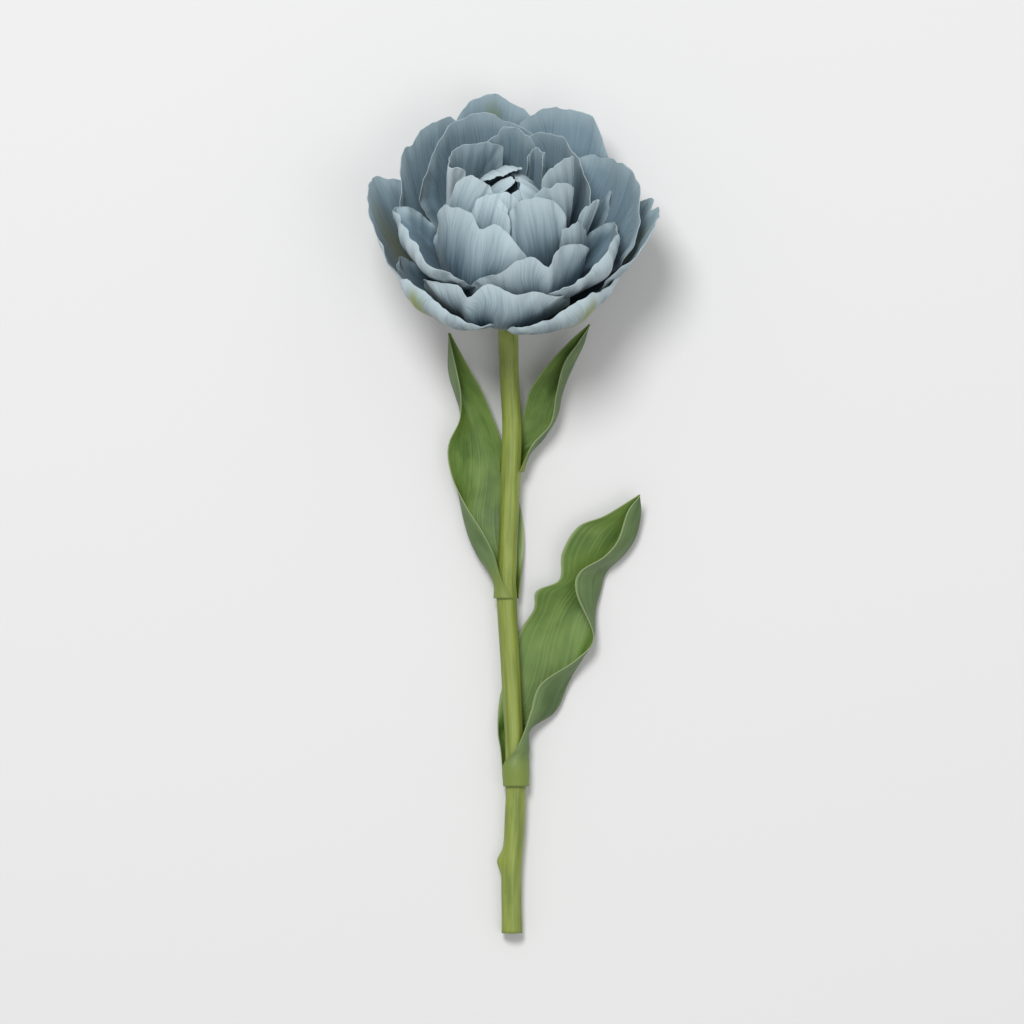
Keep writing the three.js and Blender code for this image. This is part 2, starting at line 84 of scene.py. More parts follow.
WHORLS = [
    (dict(base=(7.8, -3), claw=4), dict(
        tepal_1_back=dict(az=96, rim=(50.5, 52.5), leave=-5, arrive=78, width=21.5, cup=30,
                          drop=0.5, ruffle=0.5, seed=1, flame=0.8),
        tepal_1_front_left=dict(az=218, rim=(39.5, 25.5), leave=20, arrive=118, width=27, cup=45,
                                drop=0.4, full=(0.72, 0.22), seed=2, flame=1.2),
        tepal_1_front_right=dict(az=315, rim=(39, 24.5), leave=18, arrive=118, width=28, cup=45,
                                 drop=0.4, full=(0.72, 0.22), seed=3, flame=1.2),
    )),
    (dict(base=(7.2, -2), claw=4), dict(
        tepal_2_right=dict(az=4, rim=(53, 36), leave=0, arrive=60, width=23, cup=38, twist=-9,
                           notch=0.05, notch_wide=0.05, notch_at=0.25, seed=4, flame=0.3),
        tepal_2_left=dict(az=171, rim=(50, 42), leave=0, arrive=70, width=24, cup=38, seed=5,
                          flame=0.3),
        tepal_2_front=dict(az=260, rim=(34, 34), leave=20, arrive=100, width=29, cup=46,
                           drop=0.32, full=(0.5, 0.35), crease=2.8, crease_at=-0.25, lobes=1.2,
                           notch=0.1, notch_at=-0.25, seed=6),
    )),
    (dict(base=(6.6, -1), claw=3.8), dict(
        petal_3_back_right=dict(az=61, rim=(47.5, 52), leave=10, arrive=80, width=24, cup=33,
                                drop=0.42, seed=7),
        petal_3_back_left=dict(az=129, rim=(45, 50.5), leave=10, arrive=85, width=24, cup=42,
                               drop=0.42, seed=8),
        petal_3_right=dict(az=25, rim=(45.5, 45.5), leave=10, arrive=80, width=26, cup=40,
                           drop=0.42, twist=10, seed=9),
    )),
    (dict(base=(6.0, 0), claw=3.6), dict(
        petal_4_back=dict(az=106, rim=(36, 55), leave=20, arrive=92, width=27, cup=44, drop=0.4,
                          seed=10),
        petal_4_right=dict(az=334, rim=(38.5, 37), leave=32, arrive=130, width=25, cup=48,
                           drop=0.36, full=(0.65, 0.2), seed=11, ruffle=1.2),
        petal_4_left=dict(az=203, rim=(38, 44), leave=40, arrive=124, width=25, cup=46,
                          drop=0.36, full=(0.62, 0.2), seed=12, ruffle=1.2),
        petal_4_front=dict(az=294, rim=(29, 43), leave=22, arrive=100, width=26, cup=55,
                           crease=2.2, crease_at=0.06, lobes=0.8, notch=0.12, notch_at=0.06,
                           drop=0.42, seed=13),
    )),
    (dict(base=(5.4, 1), claw=2.2), dict(
        petal_5_back_right=dict(az=54, rim=(31, 52.5), leave=25, arrive=98, width=22, cup=55,
                                drop=0.36, seed=14),
        petal_5_back=dict(az=90, rim=(26, 57), leave=35, arrive=95, width=13, cup=62, drop=0.26,
                          seed=15),
        petal_5_left=dict(az=138, rim=(22, 56), leave=40, arrive=95, width=17, cup=48, drop=0.08,
                          fold=(0, 112), fold_at=(0.6, 0.56), fold_wide=0.1, fold_from=0.1,
                          ruffle=0.9, nick=0.01, seed=16),
        petal_5_front_left=dict(az=236, rim=(20, 52), leave=25, arrive=105, width=24, cup=52,
                                full=(0.5, 0.5), crease=1.8, lobes=1.3, notch=0.05, drop=0.4,
                                notch_at=0.1, crease_at=0.1, seed=17),
        petaloid_5_right=dict(az=335, rim=(24.5, 42), leave=35, arrive=100, width=8.5, cup=50,
                              drop=0.2, twist=-30, nick=0.012, seed=18),
        petaloid_5_far_right=dict(az=352, rim=(31.5, 47.9), leave=45, arrive=75, width=4.2,
                                  cup=60, drop=0.14, twist=-60, claw=1.5, nick=0.012, seed=19),
    )),
    (dict(base=(4.8, 2), claw=2.4), dict(
        petal_6_front=dict(az=304, rim=(13.4, 55), leave=45, arrive=112, width=12, cup=50,
                           full=(0.5, 0.5), drop=0.26, twist=-36, nick=0.007, seed=20),
        petal_6_right=dict(az=14, rim=(19.7, 59), leave=50, arrive=98, width=9, cup=56,
                           twist=-68, drop=0.16, nick=0.008, seed=21),
        petal_6_back_right=dict(az=60, rim=(22, 53), leave=50, arrive=92, width=6.5, cup=105,
                                drop=0.1, nick=0.008, seed=22),
        petal_6_left=dict(az=205, rim=(9.5, 56.5), leave=50, arrive=122, width=10, cup=52,
                          drop=0.22, twist=50, nick=0.007, seed=23),
    )),
    (dict(base=(4.2, 3), claw=2.4), dict(
        petal_7_right=dict(az=338, rim=(15.6, 56), leave=52, arrive=105, width=9.5, cup=52,
                           twist=-55, drop=0.2, nick=0.008, seed=24),
        petal_7_left=dict(az=240, rim=(9, 53.5), leave=52, arrive=125, width=7.2, cup=52,
                          drop=0.18, twist=8, nick=0.007, seed=25),
        petal_7_front=dict(az=245, rim=(10.5, 50.3), leave=48, arrive=118, width=6.5, cup=50,
                           drop=0.16, nick=0.007, seed=31),
        petal_7_back=dict(az=112, rim=(2.5, 54), leave=70, arrive=172, width=9, cup=40,
                          drop=0.18, nick=0.012, ruffle=1, seed=26),
    )),
    (dict(base=(3.6, 4), claw=1.8), dict(
        petal_8_right=dict(az=350, rim=(4, 54.5), leave=58, arrive=150, width=6.5, cup=45,
                           drop=0.12, nick=0.007, seed=27),
        petal_8_left=dict(az=190, rim=(-2, 55), leave=70, arrive=160, width=3.6, cup=45,
                          drop=0.1, nick=0.007, seed=28),
        petal_8_front=dict(az=262, rim=(4, 51.5), leave=62, arrive=135, width=6, cup=55,
                           drop=0.12, nick=0.007, seed=29),
        petal_8_front_right=dict(az=312, rim=(4.5, 51.5), leave=60, arrive=138, width=5.5,
                                 cup=50, drop=0.12, nick=0.007, seed=32),
        petal_8_back_right=dict(az=52, rim=(4.5, 50.8), leave=66, arrive=165, width=4.5, cup=45,
                                drop=0.12, nick=0.01, seed=33),
    )),
]

# ---- stem and leaves, as in the part's source ----------------------------------------------------

# Points of the plant frame, mm. A leaf's station is its left margin, keel and right margin, or,
# where it clasps the stem, (y, radius, start, end) of an arc round it in mm and degrees.

STEM_LINE = [
    (0, 3, 2.5), (0, -2.3, -1.9), (0, -7, -5.8), (0.1, -14, -9.8), (0.5, -28, -13),
    (1.4, -46, -14.2), (0.6, -70, -14.7), (-0.2, -90, -15.2), (-0.4, -106, -15.6),
    (1.2, -134, -16.3), (2.6, -165, -16.8), (2.4, -182, -17.2), (1.2, -203, -17.7),
    (1.4, -222, -18.1)]

LEAVES = dict(
    leaf_lower=[
        (-170.5, 4.3, 190, 530),
        (-163, 4.6, 186, 515),
        (-157.5, 4.9, 182, 445),
        (-150.5, 5.6, 186, 405),
        [(-3, -140, -19.2), (15.5, -144, -20.3), (8, -144, -12.5)],
        [(0, -129, -20.1), (20, -134.5, -20.3), (11.5, -134.5, -12)],
        [(4, -116.5, -19.4), (23, -124, -20.3), (24, -126, -13)],
        [(9, -108.5, -16.5), (26, -112.5, -20.3), (30, -118, -13.5)],
        [(10, -102, -13.5), (31, -103, -20.3), (24, -103, -11)],
        [(18, -98, -15), (34, -95.5, -20.3), (25, -95.5, -10.5)],
        [(19, -88.5, -13), (39, -89.5, -20), (33.5, -90, -11)],
        [(24.5, -79.5, -14), (43.5, -82.5, -19), (38.5, -84, -12)],
        [(34, -75.5, -13.5), (46, -75, -17), (42, -74, -12.5)],
        [(45.5, -68.5, -13), (46, -68.2, -13.2), (46.4, -68.4, -13)],
    ],
    leaf_middle=[
        (-104.5, 4.3, 60, 345),
        (-97.5, 5, 112, 345),
        [(-5, -89, -10.5), (-10, -89, -17.5), (5.5, -88, -19)],
        [(-9, -81, -10.5), (-13, -81, -18.2), (5.5, -80.5, -19.5)],
        [(-14.5, -72.5, -11.5), (-13.5, -73, -19.6), (4.5, -73, -19.8)],
        [(-19, -63.5, -13), (-12, -65, -20.2), (2, -63.5, -19.8)],
        [(-21, -55.5, -14), (-11.5, -56.5, -20.2), (-0.5, -55, -19.5)],
        [(-20.5, -49.5, -13.5), (-12, -49, -19.8), (-3, -47, -17.5)],
        [(-17, -42, -11), (-13.5, -40.5, -18), (-6.5, -38, -15)],
        [(-16.5, -33.5, -8), (-17.5, -33, -15.5), (-9.5, -31, -12.5)],
        [(-18, -24.5, -6.5), (-20.5, -24, -12), (-13.5, -24, -10)],
        [(-21, -11.8, -7), (-20.6, -11.5, -7.3), (-20.2, -11.7, -7)],
    ],
    leaf_upper=[
        (-60, 4.3, 200, 405),
        (-54, 6.2, 235, 388),
        [(2.5, -49, -19), (11.5, -48.5, -18), (9, -50, -11.5)],
        [(5.5, -39, -16.5), (16, -39.5, -16.5), (15, -43, -10.5)],
        [(8, -31, -12.5), (18, -32, -15), (17, -32.5, -8.5)],
        [(14, -22.5, -9.5), (22.5, -22.5, -12), (19.5, -22.5, -6.5)],
        [(21.5, -14.5, -7), (26, -15.5, -9), (24.5, -15, -5)],
        [(28, -8.8, -5), (28.4, -8.5, -5.3), (28.8, -8.7, -5)],
    ],
)

# ---- small helpers -------------------------------------------------------------------------------


def smooth(x):
    x = np.clip(x, 0, 1)
    return x * x * (3 - 2 * x)


def phase(seed, k):
    """A fixed angle for each seed and k, with no pattern between them."""
    return 2 * math.pi * math.modf(abs(math.sin(seed * 12.9898 + k * 78.233) * 43758.5453))[0]


def unit(v):
    return v / np.maximum(np.linalg.norm(v, axis=-1, keepdims=True), 1e-9)


def catmull(points, s):
    """Uniform Catmull-Rom through points (n, ...) at each s in 0..1."""
    points = np.asarray(points, float)
    n = len(points)
    place = np.clip(s, 0, 1) * (n - 1)
    i = np.minimum(place.astype(int), n - 2)
    u = (place - i).reshape((-1,) + (1,) * (points.ndim - 1))
    first = 2 * points[:1] - points[1:2]
    last = 2 * points[-1:] - points[-2:-1]
    padded = np.concatenate([first, points, last])
    p0, p1, p2, p3 = (padded[i + k] for k in range(4))
    return 0.5 * (2 * p1 + (p2 - p0) * u + (2 * p0 - 5 * p1 + 4 * p2 - p3) * u ** 2
                  + (3 * p1 - p0 - 3 * p2 + p3) * u ** 3)


def to_row(points):
    """Flower frame to row frame, both in millimetres."""
    rise = math.radians(FLOWER_RISE)
    x, y, z = points[..., 0], points[..., 1], points[..., 2]
    return np.stack([x, y * math.sin(rise) + z * math.cos(rise),
                     -y * math.cos(rise) + z * math.sin(rise)], -1) + ORIGIN


def lay_on_table(z):
    """Where a petal or leaf would sink into the table it lies along it instead."""
    lowest, bend = 0.5, 1.0
    sunk = np.minimum(z - lowest - bend, 0)
    return np.maximum(z, lowest + bend) + bend * np.expm1(sunk / bend)


def grid_faces(rows, cols, start=0, turned=False):
    i, j = np.meshgrid(np.arange(rows - 1), np.arange(cols - 1), indexing="ij")
    a = (i * cols + j).ravel() + start
    quads = np.stack([a, a + 1, a + cols + 1, a + cols], -1)
    return quads[:, ::-1] if turned else quads


def make_mesh(name, points, quads, uv, side):
    """A smooth mesh object from points in mm, with a map 'grow' and a value 'side'."""
    mesh = bpy.data.meshes.new(name)
    mesh.vertices.add(len(points))
    mesh.vertices.foreach_set("co", (points * MM).astype(np.float32).ravel())
    mesh.loops.add(quads.size)
    mesh.loops.foreach_set("vertex_index", quads.astype(np.int32).ravel())
    mesh.polygons.add(len(quads))
    mesh.polygons.foreach_set("loop_start", np.arange(0, quads.size, 4, dtype=np.int32))
    mesh.update(calc_edges=True)
    mesh.polygons.foreach_set("use_smooth", np.ones(len(quads), bool))
    grow = mesh.uv_layers.new(name="grow")
    grow.data.foreach_set("uv", uv[quads.ravel()].astype(np.float32).ravel())
    value = mesh.attributes.new("side", "FLOAT", "POINT")
    value.data.foreach_set("value", side.astype(np.float32))
    piece = bpy.data.objects.new(name, mesh)
    bpy.context.scene.collection.objects.link(piece)
    return piece


def sheet(name, mid, uv, half, inner_sign=1):
    """A thin closed piece about a grid of points. `half` is half its thickness at each point.

    Its first sheet is the inner, upper side (side 0), its second the outer, under side (side 1).
    """
    rows, cols = mid.shape[:2]
    along = unit(np.gradient(mid, axis=0))
    across = unit(np.gradient(mid, axis=1))
    normal = unit(np.cross(along, across)) * inner_sign
    inner = (mid + normal * half[..., None]).reshape(-1, 3)
    outer = (mid - normal * half[..., None]).reshape(-1, 3)
    n = rows * cols
    flip = inner_sign > 0
    quads = [grid_faces(rows, cols, 0, flip), grid_faces(rows, cols, n, not flip)]
    ring = np.concatenate([
        np.arange(cols), np.arange(1, rows) * cols + cols - 1,
        (rows - 1) * cols + np.arange(cols - 2, -1, -1), np.arange(rows - 2, 0, -1) * cols])
    following = np.roll(ring, -1)
    rim = np.stack([ring, following, following + n, ring + n], -1)
    quads.append(rim if flip else rim[:, ::-1])
    flat_uv = uv.reshape(-1, 2)
    return make_mesh(name, np.concatenate([inner, outer]), np.concatenate(quads),
                     np.concatenate([flat_uv, flat_uv]), np.repeat([0.0, 1.0], n))


# ---- the petal surface ---------------------------------------------------------------------------


def arc(k, a):
    """Offsets along and across after a run a on an arc of curvature k."""
    straight = np.abs(k * a) < 1e-6
    safe = np.where(straight, 1.0, k)
    along = np.where(straight, a, np.sin(k * a) / safe)
    across = np.where(straight, 0.5 * k * a * a, (1 - np.cos(k * a)) / safe)
    return along, across


def cross_section(t, cup, folds, fold_at, fold_wide):
    """Place and heading of t on the cross section of a petal of unit half width.

    It is an even cup, then a fold of the margin. Past a sharp fold the margin runs straight.
    """
    side = np.sign(t)
    a = np.abs(t)
    fold = np.where(side < 0, folds[0], folds[1])
    start = np.where(side < 0, fold_at[0], fold_at[1])
    x, up, heading = np.zeros_like(a), np.zeros_like(a), np.zeros_like(a)
    spans = [(0, start, cup), (start, start + fold_wide, cup + fold / fold_wide),
             (start + fold_wide, 1, cup * (1 - np.minimum(np.abs(fold), 1)))]
    for begin, end, curl in spans:
        run = np.clip(a - begin, 0, end - begin)
        dx, dn = arc(curl, run)
        x = x + dx * np.cos(heading) - dn * np.sin(heading)
        up = up + dx * np.sin(heading) + dn * np.cos(heading)
        heading = heading + curl * run
    return side * x, up, side * heading


def mid_rib(p, count=121):
    """A cubic in (radius, height), sampled evenly by length.

    Gives shares of the length, then radii, heights and slopes there, then the length.
    """
    start, end = np.array(p["base"], float), np.array(p["rim"], float)
    chord = np.linalg.norm(end - start)
    heading = [np.array([math.cos(math.radians(a)), math.sin(math.radians(a))])
               for a in (p["leave"], p["arrive"])]
    b1 = start + p["full"][0] * chord * heading[0]
    b2 = end - p["full"][1] * chord * heading[1]
    u = np.linspace(0, 1, 2 * count)[:, None]
    curve = ((1 - u) ** 3 * start + 3 * u * (1 - u) ** 2 * b1
             + 3 * u ** 2 * (1 - u) * b2 + u ** 3 * end)
    run = np.concatenate([[0], np.cumsum(np.linalg.norm(np.diff(curve, axis=0), axis=1))])
    share = np.linspace(0, 1, count)
    r = np.interp(share * run[-1], run, curve[:, 0])
    z = np.interp(share * run[-1], run, curve[:, 1])
    return share, r, z, np.unwrap(np.arctan2(np.gradient(z), np.gradient(r))), run[-1]


def nearness(S, T):
    """0 on the mid rib's foot, rising to 1 at the margins and the rim."""
    return np.clip((np.abs(T) ** 6 + S ** 8) ** (1 / 6), 0, 1)


def petal_points(p, rows, cols):
    """Middle surface of a petal in the flower frame, with its growth map: t across, s along."""
    seed = p["seed"]
    t = np.sin(np.linspace(-1, 1, cols) * math.pi / 2)
    s = np.sin(np.linspace(0, 1, rows) * math.pi / 2) ** 1.15
    top = 1 - p["drop"] * (1 - np.sqrt(np.maximum(0, 1 - t ** 2)))
    top -= p["notch"] * np.exp(-((t - p["notch_at"]) / p["notch_wide"]) ** 2)
    ragged = sum(np.sin((3 + 2.7 * k) * t + phase(seed, k)) / (1 + 0.5 * k) for k in range(5))
    fringe = sum(np.sin((23 + 13 * k) * t + phase(seed, k + 20)) / (1 + k) for k in range(4))
    top += p["nick"] * (ragged + 0.18 * fringe) * np.sqrt(np.maximum(0, 1 - t ** 4))
    S, T = np.meshgrid(s, t, indexing="ij")
    run = S * top[None, :]
    half = p["claw"] + (p["width"] - p["claw"]) * np.sin(
        np.clip(run / p["widest"], 0, 1) * math.pi / 2) ** 1.4
    share, r, z, slope, length = mid_rib(p)
    radius, height, rise = (np.interp(run, share, v) for v in (r, z, slope))
    az = math.radians(p["az"])
    out = np.array([math.cos(az), math.sin(az), 0])
    side = np.array([-math.sin(az), math.cos(az), 0])
    up = np.array([0, 0, 1.0])
    normal = -np.sin(rise)[..., None] * out + np.cos(rise)[..., None] * up
    turn = np.radians(p["twist"]) * run
    lateral = np.cos(turn)[..., None] * side + np.sin(turn)[..., None] * normal
    face = -np.sin(turn)[..., None] * side + np.cos(turn)[..., None] * normal
    cup = np.radians(p["cup0"] + (p["cup"] - p["cup0"]) * smooth(run / 0.5))
    folding = smooth((run - p["fold_from"]) / 0.3)
    folds = [np.radians(a) * folding for a in p["fold"]]
    x, d, head = cross_section(T, cup, folds, p["fold_at"], p["fold_wide"])
    risen = smooth((run - 0.15) / 0.4)
    off_crease = T - p["crease_at"]
    lift = -p["crease"] * np.exp(-(off_crease / p["crease_wide"]) ** 2) * risen
    lift -= p["lobes"] * np.cos(math.pi * (np.abs(off_crease) - 0.5)) ** 2 * risen
    # Waves along the margin, and long pleats that run up from the claw.
    margin = nearness(S, T) ** 3 * smooth((run - 0.2) / 0.3)
    around = np.arctan2(T * p["width"], (run - 0.45) * length)
    wave = sum(g * np.sin(f * p["waves"] * around + phase(seed, k))
               for k, (g, f) in enumerate([(1, 1), (0.5, 2.1), (0.25, 4.3), (0.1, 9.1)], 6))
    pleats = sum(np.sin(f * T + phase(seed, k + 30) + 0.6 * np.sin(2.2 * run + k)) / (1 + 0.4 * k)
                 for k, f in enumerate((9, 15, 24, 37)))
    lift += p["ruffle"] * margin * wave + p["pleat"] * pleats * risen * (0.35 + 0.65 * S)
    place = radius[..., None] * out + height[..., None] * up
    lean = -np.sin(head)[..., None] * lateral + np.cos(head)[..., None] * face
    points = place + (x * half)[..., None] * lateral + (d * half)[..., None] * face
    return points + lift[..., None] * lean, S, T


# ---- materials -----------------------------------------------------------------------------------


class Nodes:
    """Short names for building one node material."""

    def __init__(self, name):
        self.material = bpy.data.materials.new(name)
        self.material.use_nodes = True
        self.tree = self.material.node_tree
        self.shader = self.tree.nodes["Principled BSDF"]

    def wire(self, source, target):
        if isinstance(source, (int, float)):
            target.default_value = source
        elif isinstance(source, tuple):
            target.default_value = (*source, 1) if len(target.default_value) == 4 else source
        else:
            self.tree.links.new(source, target)

    def math(self, how, a, b=0.0, clamp=False):
        node = self.tree.nodes.new("ShaderNodeMath")
        node.operation = how
        node.use_clamp = clamp
        self.wire(a, node.inputs[0])
        self.wire(b, node.inputs[1])
        return node.outputs[0]

    def add(self, a, b):
        return self.math("ADD", a, b)

    def times(self, a, b):
        return self.math("MULTIPLY", a, b)

    def ramp(self, value, low, high, to_low=0.0, to_high=1.0):
        """Smooth step of a value from low..high to to_low..to_high."""
        node = self.tree.nodes.new("ShaderNodeMapRange")
        node.interpolation_type = "SMOOTHSTEP"
        for socket, number in zip(node.inputs, (value, low, high, to_low, to_high)):
            self.wire(number, socket)
        return node.outputs[0]

    def mix(self, factor, a, b):
        node = self.tree.nodes.new("ShaderNodeMix")
        node.data_type = "RGBA"
        self.wire(factor, node.inputs[0])
        self.wire(a, node.inputs[6])
        self.wire(b, node.inputs[7])
        return node.outputs[2]

    def join(self, x, y, z=0.0):
        node = self.tree.nodes.new("ShaderNodeCombineXYZ")
        for socket, value in zip(node.inputs, (x, y, z)):
            self.wire(value, socket)
        return node.outputs[0]

    def noise(self, vector, scale=1.0, detail=2.0, rough=0.5):
        node = self.tree.nodes.new("ShaderNodeTexNoise")
        self.wire(vector, node.inputs["Vector"])
        self.wire(scale, node.inputs["Scale"])
        self.wire(detail, node.inputs["Detail"])
        self.wire(rough, node.inputs["Roughness"])
        return node.outputs["Fac"]

    def growth(self):
        """t from -1 at the left margin to 1 at the right, s from 0 at the base to 1 at the tip."""
        grow = self.tree.nodes.new("ShaderNodeUVMap")
        grow.uv_map = "grow"
        split = self.tree.nodes.new("ShaderNodeSeparateXYZ")
        self.wire(grow.outputs[0], split.inputs[0])
        t = self.math("MULTIPLY_ADD", split.outputs[0], 2.0)
        t.node.inputs[2].default_value = -1.0
        return t, split.outputs[1]

    def own_box(self):
        """Across and along a piece of the heart, 0 to 1, from the box of its own mesh."""
        box = self.tree.nodes.new("ShaderNodeTexCoord")
        split = self.tree.nodes.new("ShaderNodeSeparateXYZ")
        self.wire(box.outputs["Generated"], split.inputs[0])
        return split.outputs[0], self.times(self.add(split.outputs[1], split.outputs[2]), 0.5)

    def value(self, name):
        node = self.tree.nodes.new("ShaderNodeAttribute")
        node.attribute_name = name
        return node.outputs["Fac"]

    def bump(self, height, depth, strength=1.0):
        node = self.tree.nodes.new("ShaderNodeBump")
        self.wire(strength, node.inputs["Strength"])
        self.wire(depth, node.inputs["Distance"])
        self.wire(height, node.inputs["Height"])
        self.wire(node.outputs[0], self.shader.inputs["Normal"])

    def finish(self, colour, roughness, **constants):
        self.wire(colour, self.shader.inputs["Base Color"])
        self.wire(roughness, self.shader.inputs["Roughness"])
        for socket, number in constants.items():
            self.wire(number, self.shader.inputs[socket.replace("_", " ")])
        return self.material


# Petals.
# From the claw to the rim, DEEP, MID and PALE are painted shade and painted light; PALE and DEEP
# also colour the pale and dark lines.
PALE = (0.50, 0.61, 0.65)
MID = (0.165, 0.265, 0.33)
DEEP = (0.04, 0.075, 0.107)
# Painted light for the shaded under side of a folded margin:
FLAP_PAINTED_LIGHT = (0.62, 0.72, 0.76)
FLAME = (0.22, 0.27, 0.035)
FLAME_GREY = (0.17, 0.20, 0.15)
# Leaves and stem.
UPPER_DARK, UPPER_LIGHT = (0.065, 0.135, 0.018), (0.15, 0.245, 0.05)
UNDER_DARK, UNDER_LIGHT = (0.06, 0.11, 0.032), (0.12, 0.19, 0.07)
LEAF_VEIN = (0.27, 0.38, 0.12)
LEAF_MARGIN = (0.42, 0.50, 0.25)
SHEATH = (0.18, 0.245, 0.045)
STEM_DARK, STEM_LIGHT = (0.15, 0.205, 0.028), (0.25, 0.31, 0.055)
STEM_STREAK = (0.36, 0.42, 0.11)
# Heart.
OVARY, STIGMA, OVARY_SPECK = (0.32, 0.40, 0.13), (0.68, 0.64, 0.40), (0.55, 0.58, 0.28)
ANTHER_DARK, ANTHER_LIGHT = (0.03, 0.022, 0.02), (0.10, 0.075, 0.05)
FILAMENT = (0.42, 0.46, 0.30)
# Table.
TABLE_TOP = (0.735, 0.735, 0.735)


def petal_material(name, p):
    n = Nodes(name)
    t, s = n.growth()
    outer = n.value("side")
    seed = float(p["seed"])
    # Veins run from the claw to the rim and bend a little.
    sway = n.times(n.math("SUBTRACT", n.noise(n.join(t, s, seed), 2.2, 1.0), 0.5), 0.35)
    fan = n.math("DIVIDE", t, n.add(0.55, n.times(s, 0.75)))
    across = n.add(fan, n.times(sway, s))
    broad = n.noise(n.join(n.times(across, 5.0), n.times(s, 1.1), seed), 1.0, 2.0)
    veins = n.noise(n.join(n.times(across, 24.0), n.times(s, 1.6), seed + 7), 1.0, 3.0, 0.6)
    fine = n.noise(n.join(n.times(across, 85.0), n.times(s, 3.0), seed + 13), 1.0, 2.0, 0.6)
    blotch = n.noise(n.join(n.times(t, 2.0), n.times(s, 2.4), seed + 31), 1.6, 3.0)
    streak = n.add(n.times(veins, 0.4), n.times(fine, 0.6))
    # Painted shade and light: darker blue-grey towards the claw, where the cup lies in shade, and
    # paler towards the rim, both more strongly on the outer side.
    height = n.add(s, n.times(n.math("SUBTRACT", broad, 0.5), 0.35))
    body = n.mix(n.ramp(n.add(height, n.times(outer, -0.22)), 0.2, 0.8), DEEP, MID)
    margin = n.math("POWER", n.add(n.math("POWER", n.math("ABSOLUTE", t), 6.0),
                                   n.math("POWER", s, 8.0)), 1 / 6)
    # Painted light towards the rim, stronger on the outer side.
    painted_rim_light = n.times(n.ramp(height, 0.58, 1.05), n.add(0.3, n.times(outer, 0.6)))
    body = n.mix(painted_rim_light, body, PALE)
    # Pale lines, dark lines between them, and a pale margin.
    lines = n.times(n.ramp(streak, 0.45, 0.65),
                    n.times(n.ramp(s, 0.2, 0.7), n.add(0.12, n.times(outer, 0.1))))
    body = n.mix(lines, body, PALE)
    body = n.mix(n.times(n.ramp(streak, 0.5, 0.34), 0.3), body, DEEP)
    # The pale margin is partly the petal's own paler edge and partly a painted highlight where the
    # rim catches the light.
    edge = n.ramp(n.add(margin, n.times(n.math("SUBTRACT", blotch, 0.5), 0.1)), 0.84, 1.02)
    body = n.mix(n.times(edge, 0.45), body, PALE)
    # Painted light: the under side of a folded margin, which lies in shade, is painted paler still.
    for side, (bend, start) in enumerate(zip(p["fold"], p["fold_at"])):
        if bend:
            toward = n.times(t, 2.0 * side - 1.0)
            painted_flap_light = n.times(n.ramp(toward, start, start + p["fold_wide"]), outer)
            body = n.mix(n.times(painted_flap_light, 0.85), body, FLAP_PAINTED_LIGHT)
    if p["flame"]:
        middle = n.math("ABSOLUTE", n.add(t, n.times(sway, 0.8)))
        streaked = n.add(middle, n.times(n.math("SUBTRACT", veins, 0.5), -0.5))
        grey = n.times(n.ramp(streaked, 0.65, 0.05), n.ramp(s, 0.98, 0.6))
        body = n.mix(n.times(grey, 0.75), body, FLAME_GREY)
        green = n.times(n.ramp(streaked, 0.24, 0.0),
                        n.times(n.ramp(s, 0.3, 0.55), n.ramp(s, 1.0, 0.82)))
        body = n.mix(n.math("MULTIPLY", green, 0.8 * p["flame"], clamp=True), body, FLAME)
    relief = n.add(n.times(veins, 0.7), n.times(fine, 0.3))
    n.bump(relief, depth=0.0006, strength=0.42)
    return n.finish(body, n.ramp(streak, 0.3, 0.7, 0.62, 0.48), Specular_IOR_Level=0.35,
                    Sheen_Weight=0.12, Sheen_Roughness=0.5)


def leaf_material(name):
    n = Nodes(name)
    t, s = n.growth()
    under = n.value("side")
    veins = n.noise(n.join(n.times(t, 26.0), n.times(s, 1.2), 3.0), 1.0, 2.0)
    fine = n.noise(n.join(n.times(t, 80.0), n.times(s, 2.5), 5.0), 1.0, 2.0)
    blotch = n.noise(n.join(n.times(t, 1.5), n.times(s, 5.0), 8.0), 1.3, 3.0)
    upper = n.mix(n.ramp(blotch, 0.3, 0.7), UPPER_DARK, UPPER_LIGHT)
    lower = n.mix(n.ramp(blotch, 0.3, 0.7), UNDER_DARK, UNDER_LIGHT)
    body = n.mix(under, upper, lower)
    body = n.mix(n.times(n.ramp(veins, 0.45, 0.7), 0.22), body, LEAF_VEIN)
    # The sheath takes the stem's colour; the margin is a thin pale line.
    body = n.mix(n.ramp(s, 0.2, 0.03), body, SHEATH)
    edge = n.times(n.ramp(n.math("ABSOLUTE", t), 0.95, 1.0), n.ramp(s, 0.08, 0.25))
    body = n.mix(n.times(edge, 0.5), body, LEAF_MARGIN)
    n.bump(n.add(veins, n.times(fine, 0.4)), depth=0.0004, strength=0.4)
    return n.finish(body, n.ramp(fine, 0.3, 0.7, 0.52, 0.42), Specular_IOR_Level=0.45)


def stem_material():
    n = Nodes("stem skin")
    t, s = n.growth()
    turn = n.times(t, math.pi)
    ring = n.join(n.math("COSINE", turn), n.math("SINE", turn), n.times(s, 1.5))
    streak = n.noise(ring, 5.0, 3.0)
    cloud = n.noise(n.join(n.math("COSINE", turn), n.math("SINE", turn), n.times(s, 12.0)),
                    1.2, 3.0)
    body = n.mix(n.ramp(cloud, 0.3, 0.7), STEM_DARK, STEM_LIGHT)
    body = n.mix(n.times(n.ramp(streak, 0.4, 0.7), 0.3), body, STEM_STREAK)
    n.bump(streak, depth=0.0003, strength=0.4)
    return n.finish(body, n.ramp(cloud, 0.3, 0.7, 0.45, 0.36), Specular_IOR_Level=0.5)


